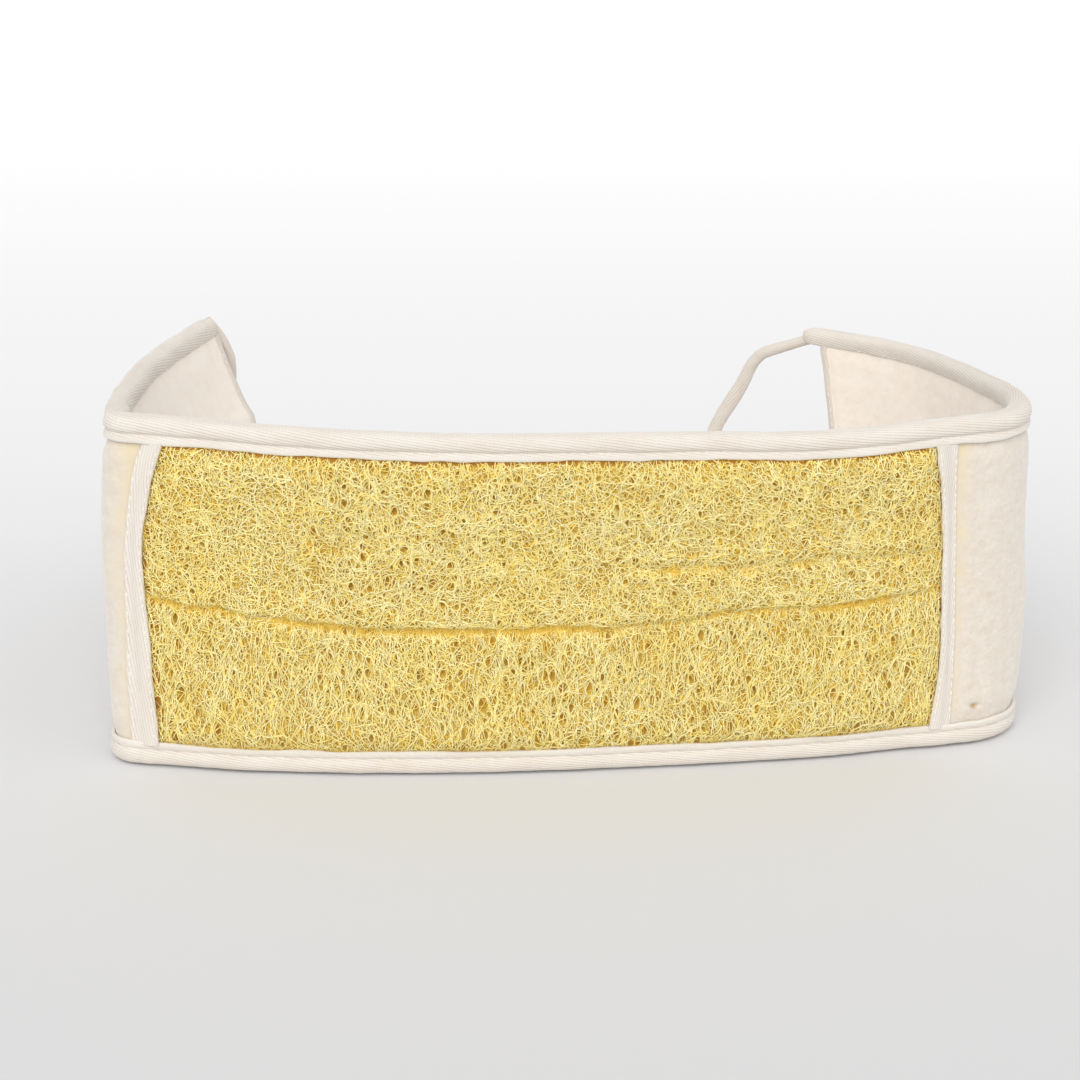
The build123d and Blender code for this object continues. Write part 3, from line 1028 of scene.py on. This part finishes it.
def loofah_fibres(name, seed, count, depth, radius, paint):
    """A layer of curling fibres at a depth under the loofah's front."""
    rng = np.random.default_rng(seed)
    z = rng.uniform(8.2, 106.8, count)
    left, right = loofah_ends(z, 0.6)
    s = left + (right - left) * rng.uniform(0, 1, count)
    # below the main crease more of them stand upright, and they curl less
    below = below_fold(s, z)
    upright = rng.normal(pi / 2, 0.45, count)
    anywhere = rng.uniform(0, pi, count)
    heading = np.where(rng.uniform(0, 1, count) < 0.3 + 0.5 * below, upright, anywhere)
    heading += pi * rng.integers(0, 2, count)
    calm = 1 - 0.6 * below
    curl = rng.normal(0, 0.2, count)
    lift = rng.uniform(-0.35, 0.3, count)
    wave = rng.uniform(0, 2 * pi, count)
    pace = rng.uniform(0.5, 1.3, count)
    path = np.zeros((count, FIBRE_STEPS, 3))
    for k in range(FIBRE_STEPS):
        path[:, k] = np.stack([s, lift + 0.3 * np.sin(wave + pace * k), z], -1)
        curl = 0.35 * curl + rng.normal(0, 0.3, count)
        heading = heading + curl * calm
        s, z = s + np.cos(heading), z + np.sin(heading)
    ps, pz = path[..., 0], np.clip(path[..., 2], 7.8, 107.2)
    # near the upper and lower borders each dives from view at a limit of its own
    early = rng.uniform(0, 1.6, (2, count, 1))
    beyond = 2.5 * smooth(np.maximum(8.4 + early[0] - pz, pz - 106.4 + early[1]))
    ps, pz, dive = parted(np.clip(ps, *loofah_ends(pz, 0.3)), pz)
    dive = crease_share(depth) * dive + beyond
    po = held_down(ps, pz, loofah_surface(ps, pz) - dive - depth + path[..., 1])
    thick = radius * rng.uniform(0.75, 1.3, count)[:, None]
    as_loofah(add_strands(name, at(ps, po, pz), thick, 4, paint))


# ---- hand loops


def loop_root(side):
    """The middle line's point at a loop's root, with the directions outwards and across it."""
    x, y, heading = plan(side * LOOP_ROOT)
    outward = side * np.array([np.cos(heading), np.sin(heading), 0.0])
    across = np.array([np.sin(heading), -np.cos(heading), 0.0])
    return np.array([x, y, HEIGHT / 2]), outward, across


def loop_line(side):
    """The centreline of a hand loop, read from the spline that its route's points control."""
    _, outward, _ = loop_root(side)
    data = bpy.data.curves.new(f"{SIDE[side]}_loop_route", "CURVE")
    data.dimensions = "3D"
    data.resolution_u = 40
    spline = data.splines.new("NURBS")
    spline.points.add(len(LOOP_ROUTE[side]) - 1)
    for point, (u, z), (ahead, aside) in zip(spline.points, LOOP_ROUTE[side], LOOP_DRIFT[side]):
        place = (at(side * LOOP_ROOT, aside, z) + (u + ahead) * outward) * MM
        point.co = (*place, 1.0)
    spline.order_u = 3
    spline.use_endpoint_u = True
    route = new_object(f"{SIDE[side]}_loop_route", data)
    bpy.context.view_layer.update()
    evaluated = route.evaluated_get(bpy.context.evaluated_depsgraph_get())
    mesh = bpy.data.meshes.new_from_object(evaluated)
    line = np.array([vertex.co for vertex in mesh.vertices])
    bpy.data.objects.remove(route)
    bpy.data.meshes.remove(mesh)
    length = totals(np.linalg.norm(np.diff(line, axis=0), axis=1))
    places = np.arange(0, length[-1], LOOP_STEP * MM)
    return np.stack([np.interp(places, length, line[:, k]) for k in range(3)], -1) / MM


def hand_loop(side):
    """The narrow rolled tape that runs on from the binding, with its lengthwise seam."""
    root, outward, across = loop_root(side)
    path = loop_line(side)
    # both ends run on for 3 mm into the band
    steps = np.arange(1, 7)[:, None]
    before = path[:1] - (path[1:2] - path[:1]) * steps[::-1]
    after = path[-1:] + (path[-1:] - path[-2:-1]) * steps
    line = np.concatenate([before, path, after])
    tangent = unit(np.gradient(line, axis=0))
    first = unit(across - tangent * (tangent @ across)[:, None])
    second = np.cross(tangent, first)
    run = np.arange(len(line)) * LOOP_STEP
    angle = np.linspace(0, 2 * pi, 52, endpoint=False)
    a, r = np.meshgrid(angle, run, indexing="xy")
    twist = 0.5 * noise(r / 38, 2.0, 111 + side)
    wide = 2.1 + 0.85 * smooth((r - 25) / 35) + 0.3 * noise(r / 9, 4.0, 113 + side)
    flat = 1.9 + 0.22 * noise(r / 7, 6.0, 115 + side)
    u, v = wide * np.cos(a), flat * np.sin(a)
    v = v - 0.55 * hump(u, 0, 0.45) * (np.sin(a) > 0)
    around = a * 2.3
    rise = 1 + 0.035 * rib(around, r) + 0.03 * noise(r / 4, around / 2, 117)
    u, v = u * rise, v * rise
    c, d = np.cos(twist), np.sin(twist)
    u, v = u * c - v * d, u * d + v * c
    sections = line[:, None] + u[..., None] * second[:, None] + v[..., None] * first[:, None]
    outline = np.stack([np.cos(angle), np.sin(angle)], -1)
    name = f"{SIDE[side]}_hand_loop"
    piece = add_swept(name, sections, np.stack([r, around], -1), outline, TWILL)
    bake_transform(piece)
    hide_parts(f"{SIDE[side]}_handle_loop")


for side in (-1, 1):
    hand_loop(side)

for side in (-1, 1):
    for top in (True, False):
        binding(side, top)
        binding_stitches(side, top)
    tape, tape_seam = end_tape(side)
    hem, hem_seam = end_hem(side)
    cloth = terry(side)
    inner = lining(side)
    wadding(side)

loofah_mat()
# Name, seed, pore width, depth, fibre radius and paint of each net
NETS = [
    ("loofah_net_top", 211, 2.3, 0.05, 0.16, FIBRE_TOP),
    ("loofah_net_middle", 212, 2.6, 0.4, 0.17, FIBRE_MIDDLE),
    ("loofah_net_deep", 213, 2.5, 0.8, 0.19, FIBRE_DEEP),
]
# Name, seed, number of fibres, depth, fibre radius and paint of each layer
FIBRES = [
    ("loofah_fibres_top_1", 201, 2850, 0.0, 0.15, FIBRE_TOP),
    ("loofah_fibres_top_2", 202, 2850, 0.15, 0.15, FIBRE_TOP),
    ("loofah_fibres_middle_1", 203, 2850, 0.3, 0.15, FIBRE_MIDDLE),
    ("loofah_fibres_middle_2", 204, 1900, 0.5, 0.16, FIBRE_MIDDLE),
    ("loofah_fibres_deep", 205, 2850, 0.8, 0.18, FIBRE_DEEP),
]
for net in NETS:
    loofah_net(*net)
for layer in FIBRES:
    loofah_fibres(*layer)


# ---- stage and light


def stage():
    """A plain pale floor that runs out of sight, with painted light falloff: greyer in front than
    far behind.
    """
    paint = Paint("pale_floor", 0.9)
    distance = paint.fade(paint.split(paint.place())["Y"], -0.4, 1.6)
    painted_falloff = [(0.0, (212, 212, 213)), (0.35, (234, 234, 235)), (1.0, (252, 252, 252))]
    paint.colour(paint.ramp(distance, painted_falloff))
    bpy.ops.mesh.primitive_circle_add(
        vertices=96, radius=14.0, fill_type="NGON", location=(0, 0, -0.0004)
    )
    floor = bpy.context.object
    floor.name = "pale_floor"
    floor.data.materials.append(paint.material)


def soft_sun(name, azimuth, elevation, strength, angle):
    """Broad even light from a direction: degrees from straight in front, and above the floor."""
    data = bpy.data.lights.new(name, "SUN")
    data.energy = strength
    data.angle = radians(angle)
    lamp = new_object(name, data)
    a, e = radians(azimuth), radians(elevation)
    towards = Vector((-sin(a) * cos(e), cos(a) * cos(e), -sin(e)))
    lamp.rotation_euler = towards.to_track_quat("-Z", "Y").to_euler()


stage()
world = bpy.data.worlds.new("soft_studio")
world.use_nodes = True
background = world.node_tree.nodes["Background"].inputs
background["Color"].default_value = (1.0, 1.0, 1.0, 1.0)
background["Strength"].default_value = 0.70
bpy.context.scene.world = world
bpy.context.scene.view_settings.view_transform = "Standard"
soft_sun("key", -14, 38, 1.68, 50)
soft_sun("fill", 50, 30, 0.25, 60)
